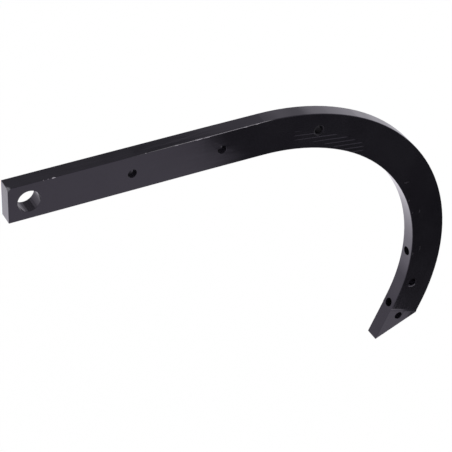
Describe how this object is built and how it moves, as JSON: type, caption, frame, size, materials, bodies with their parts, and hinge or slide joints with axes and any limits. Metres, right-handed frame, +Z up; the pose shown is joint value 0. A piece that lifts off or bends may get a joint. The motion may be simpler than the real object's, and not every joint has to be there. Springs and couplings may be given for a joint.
{
  "type": "cultivator leg",
  "caption": "Flat steel bar bent edgewise into a hook: an eye in the straight shank, a mitred tip, and drilled holes for share and clamp bolts.",
  "frame": {"origin": "centre of the eye bore, half way through the bar's thickness", "axes": "+X along the shank from the eye to the hook, +Y along the eye bore through the thickness, +Z up, away from the side the hook curves to"},
  "size_m": [0.7699, 0.0262, 0.524],
  "materials": {
    "black_paint": "semi-gloss black paint on hot-bent steel bar"
  },
  "bodies": {
    "root": {"cultivator_leg": "black_paint"}
  },
  "joints": []
}
